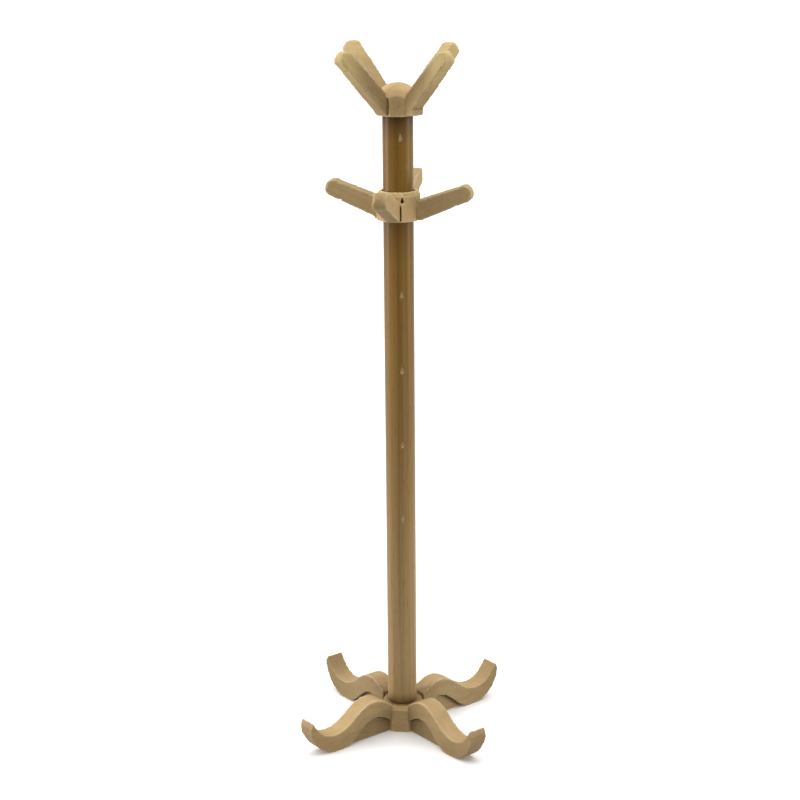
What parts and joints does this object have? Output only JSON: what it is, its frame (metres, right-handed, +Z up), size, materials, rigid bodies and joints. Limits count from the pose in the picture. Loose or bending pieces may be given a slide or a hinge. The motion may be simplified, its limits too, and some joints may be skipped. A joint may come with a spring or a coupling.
{
  "type": "mug tree",
  "caption": "Free-standing wooden stand: a round pole on curled feet, a domed crown with rising arms, and a lower ring of arms that slides on the pole.",
  "frame": {"origin": "on the floor, under the axis of the pole", "axes": "+Z up the pole, -Y towards the front; the feet stand on the diagonals between X and Y"},
  "size_m": [0.1254, 0.1254, 0.4707],
  "materials": {
    "carved_wood": "hand-cut pale beech, bare and matt",
    "pole_wood": "satin varnished dowel, golden brown above and paler towards the foot",
    "dowel_wood": "plain birch dowel, unfinished",
    "screw_steel": "zinc-plated steel",
    "liner_felt": "thin brown felt"
  },
  "bodies": {
    "stand": {"pole": "pole_wood", "base_hub": "carved_wood", "base_screw": "screw_steel", "leg_dowels": "dowel_wood", "crown_hub": "carved_wood", "crown_arm_dowels": "dowel_wood", "leg_front_left": "carved_wood", "leg_front_right": "carved_wood", "leg_back_right": "carved_wood", "leg_back_left": "carved_wood", "crown_arm_front_left": "carved_wood", "crown_arm_front_right": "carved_wood", "crown_arm_back_right": "carved_wood", "crown_arm_back_left": "carved_wood"},
    "sleeve": {"collar_liner": "liner_felt"},
    "collar": {"collar_hub": "carved_wood", "collar_arm_dowels": "dowel_wood", "collar_arm_front": "carved_wood", "collar_arm_right": "carved_wood", "collar_arm_back": "carved_wood", "collar_arm_left": "carved_wood"}
  },
  "joints": [
    {"name": "collar_height", "type": "slide", "parent": "stand", "child": "sleeve", "axis": [0, 0, 1], "range_m": [-0.333, 0.047]},
    {"name": "collar_turn", "type": "hinge", "parent": "sleeve", "child": "collar", "pos_m": [0, 0, 0.36805], "axis": [0, 0, 1], "continuous": true}
  ]
}
